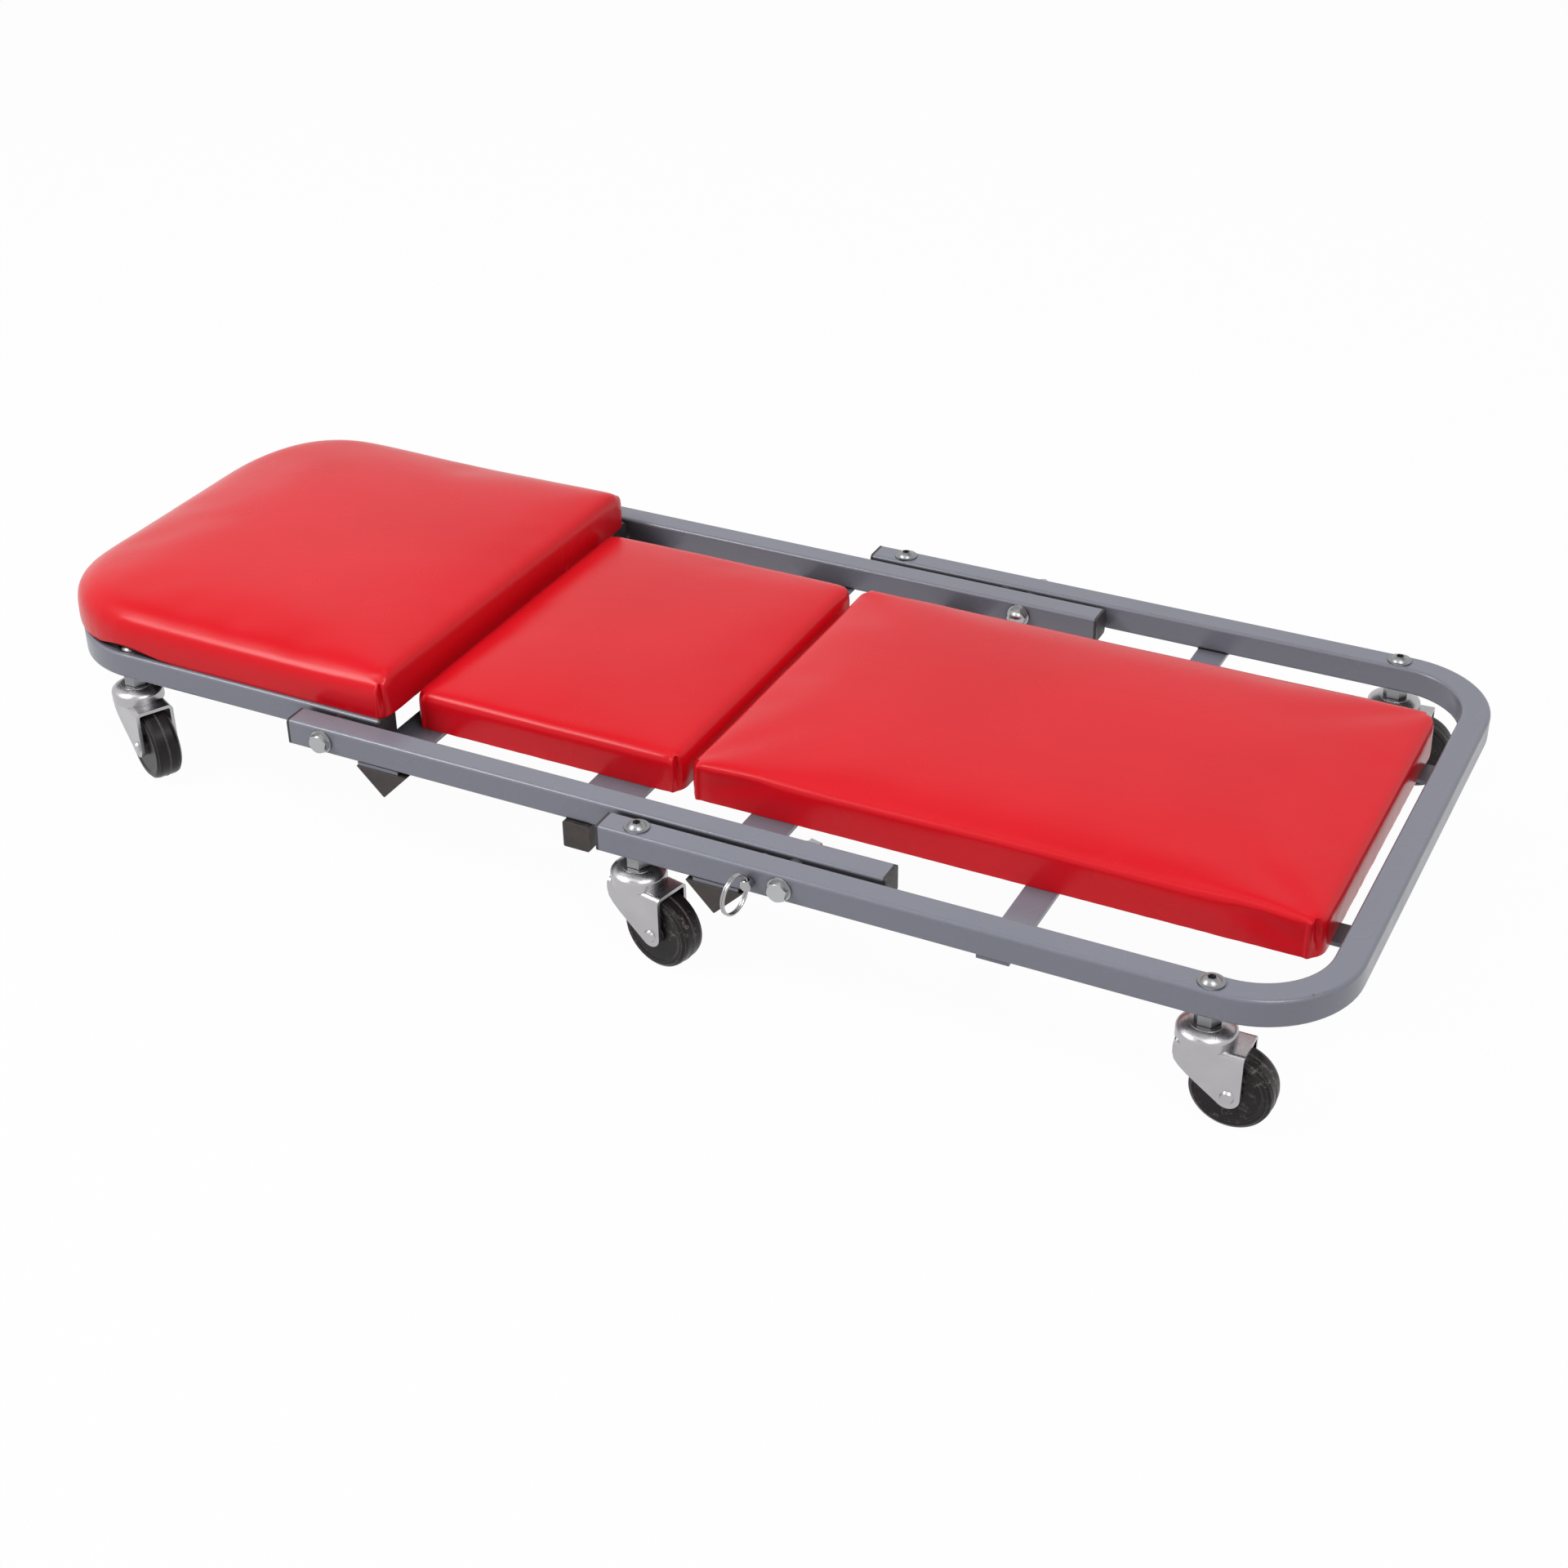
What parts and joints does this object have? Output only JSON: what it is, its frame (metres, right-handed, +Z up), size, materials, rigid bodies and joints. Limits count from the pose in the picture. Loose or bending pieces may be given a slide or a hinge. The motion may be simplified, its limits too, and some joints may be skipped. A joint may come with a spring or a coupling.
{
  "type": "folding creeper stool",
  "caption": "Folding creeper stool: nested square-tube frames on hinges with swivel casters and red padded boards; lies flat as a creeper and folds up in a Z as a low seat.",
  "frame": {"origin": "centre of the bounding box, on the floor under the wheels", "axes": "+Z up, +X from the head end towards the foot end, Y across the frame"},
  "size_m": [1.016, 0.5059, 0.138],
  "materials": {
    "frame_paint": "semi-gloss",
    "black_plastic": "matte",
    "black_rubber": "matte",
    "zinc": "zinc plated",
    "bush_steel": "turned, oiled",
    "ring_steel": "nickel plated",
    "board": "black cloth covered",
    "red_vinyl": "glossy",
    "chrome_fork": "zinc plated",
    "wheel_rubber": "hard rubber"
  },
  "bodies": {
    "foot": {"foot_frame": "frame_paint", "foot_plug_near": "black_plastic", "foot_plug_far": "black_plastic", "foot_wedge_near": "black_rubber", "foot_wedge_far": "black_rubber", "foot_bolt_near": "zinc", "foot_bolt_far": "zinc", "foot_spacer_near": "bush_steel", "foot_spacer_far": "bush_steel", "foot_nut_near": "zinc", "foot_nut_far": "zinc", "long_board": "board", "long_pad": "red_vinyl", "stem_inner_near": "zinc", "stem_inner_far": "zinc", "stem_outer_near": "zinc", "stem_outer_far": "zinc"},
    "link": {"link_frame": "frame_paint", "link_plug_head_near": "black_plastic", "link_plug_head_far": "black_plastic", "link_plug_foot_near": "black_plastic", "link_plug_foot_far": "black_plastic", "link_wedge_near": "black_rubber", "link_wedge_far": "black_rubber", "bump_block_near": "black_rubber", "bump_block_far": "black_rubber", "head_bolt_near": "zinc", "head_bolt_far": "zinc", "head_spacer_near": "bush_steel", "head_spacer_far": "bush_steel", "head_nut_near": "zinc", "head_nut_far": "zinc", "mid_board": "board", "mid_pad": "red_vinyl"},
    "head": {"head_frame": "frame_paint", "head_plug_near": "black_plastic", "head_plug_far": "black_plastic", "head_board": "board", "head_pad": "red_vinyl", "stem_head_near": "zinc", "stem_head_far": "zinc"},
    "fork_inner_near": {"fork_inner_near": "chrome_fork"},
    "wheel_inner_near": {"wheel_inner_near": "wheel_rubber"},
    "fork_inner_far": {"fork_inner_far": "chrome_fork"},
    "wheel_inner_far": {"wheel_inner_far": "wheel_rubber"},
    "fork_outer_near": {"fork_outer_near": "chrome_fork"},
    "wheel_outer_near": {"wheel_outer_near": "wheel_rubber"},
    "fork_outer_far": {"fork_outer_far": "chrome_fork"},
    "wheel_outer_far": {"wheel_outer_far": "wheel_rubber"},
    "fork_head_near": {"fork_head_near": "chrome_fork"},
    "wheel_head_near": {"wheel_head_near": "wheel_rubber"},
    "fork_head_far": {"fork_head_far": "chrome_fork"},
    "wheel_head_far": {"wheel_head_far": "wheel_rubber"},
    "pin_near": {"lock_pin_near": "ring_steel"},
    "ring_near": {"split_ring_near": "ring_steel"},
    "pin_far": {"lock_pin_far": "ring_steel"},
    "ring_far": {"split_ring_far": "ring_steel"}
  },
  "joints": [
    {"name": "link_fold", "type": "hinge", "parent": "foot", "child": "link", "pos_m": [0.149, 0, 0.087], "axis": [0, 1, 0], "range_deg": [0, 135]},
    {"name": "head_fold", "type": "hinge", "parent": "link", "child": "head", "pos_m": [-0.221, 0, 0.087], "axis": [0, -1, 0], "range_deg": [0, 135]},
    {"name": "swivel_inner_near", "type": "hinge", "parent": "foot", "child": "fork_inner_near", "pos_m": [0.04, -0.215, 0.06], "axis": [0, 0, 1], "continuous": true},
    {"name": "roll_inner_near", "type": "hinge", "parent": "fork_inner_near", "child": "wheel_inner_near", "pos_m": [0.05956, -0.21916, 0.027], "axis": [0.2079, 0.9781, 0], "continuous": true},
    {"name": "swivel_inner_far", "type": "hinge", "parent": "foot", "child": "fork_inner_far", "pos_m": [0.04, 0.215, 0.06], "axis": [0, 0, 1], "continuous": true},
    {"name": "roll_inner_far", "type": "hinge", "parent": "fork_inner_far", "child": "wheel_inner_far", "pos_m": [0.05638, 0.22647, 0.027], "axis": [-0.5736, 0.8192, 0], "continuous": true},
    {"name": "swivel_outer_near", "type": "hinge", "parent": "foot", "child": "fork_outer_near", "pos_m": [0.43, -0.215, 0.06], "axis": [0, 0, 1], "continuous": true},
    {"name": "roll_outer_near", "type": "hinge", "parent": "fork_outer_near", "child": "wheel_outer_near", "pos_m": [0.45, -0.215, 0.027], "axis": [0, 1, 0], "continuous": true},
    {"name": "swivel_outer_far", "type": "hinge", "parent": "foot", "child": "fork_outer_far", "pos_m": [0.43, 0.215, 0.06], "axis": [0, 0, 1], "continuous": true},
    {"name": "roll_outer_far", "type": "hinge", "parent": "fork_outer_far", "child": "wheel_outer_far", "pos_m": [0.44997, 0.21605, 0.027], "axis": [-0.0523, 0.9986, 0], "continuous": true},
    {"name": "swivel_head_near", "type": "hinge", "parent": "head", "child": "fork_head_near", "pos_m": [-0.415, -0.165, 0.06], "axis": [0, 0, 1], "continuous": true},
    {"name": "roll_head_near", "type": "hinge", "parent": "fork_head_near", "child": "wheel_head_near", "pos_m": [-0.39734, -0.17439, 0.027], "axis": [0.4695, 0.8829, 0], "continuous": true},
    {"name": "swivel_head_far", "type": "hinge", "parent": "head", "child": "fork_head_far", "pos_m": [-0.415, 0.165, 0.06], "axis": [0, 0, 1], "continuous": true},
    {"name": "roll_head_far", "type": "hinge", "parent": "fork_head_far", "child": "wheel_head_far", "pos_m": [-0.39621, 0.15816, 0.027], "axis": [0.342, 0.9397, 0], "continuous": true},
    {"name": "pin_slide_near", "type": "slide", "parent": "foot", "child": "pin_near", "axis": [0, -1, 0], "range_m": [-0.0028, 0]},
    {"name": "ring_swing_near", "type": "hinge", "parent": "pin_near", "child": "ring_near", "pos_m": [0.128, -0.2302, 0.087], "axis": [0, 0, 1], "range_deg": [-60, 60]},
    {"name": "pin_slide_far", "type": "slide", "parent": "foot", "child": "pin_far", "axis": [0, 1, 0], "range_m": [-0.0028, 0]},
    {"name": "ring_swing_far", "type": "hinge", "parent": "pin_far", "child": "ring_far", "pos_m": [0.128, 0.2302, 0.087], "axis": [1, 0, 0], "range_deg": [0, 80]}
  ]
}
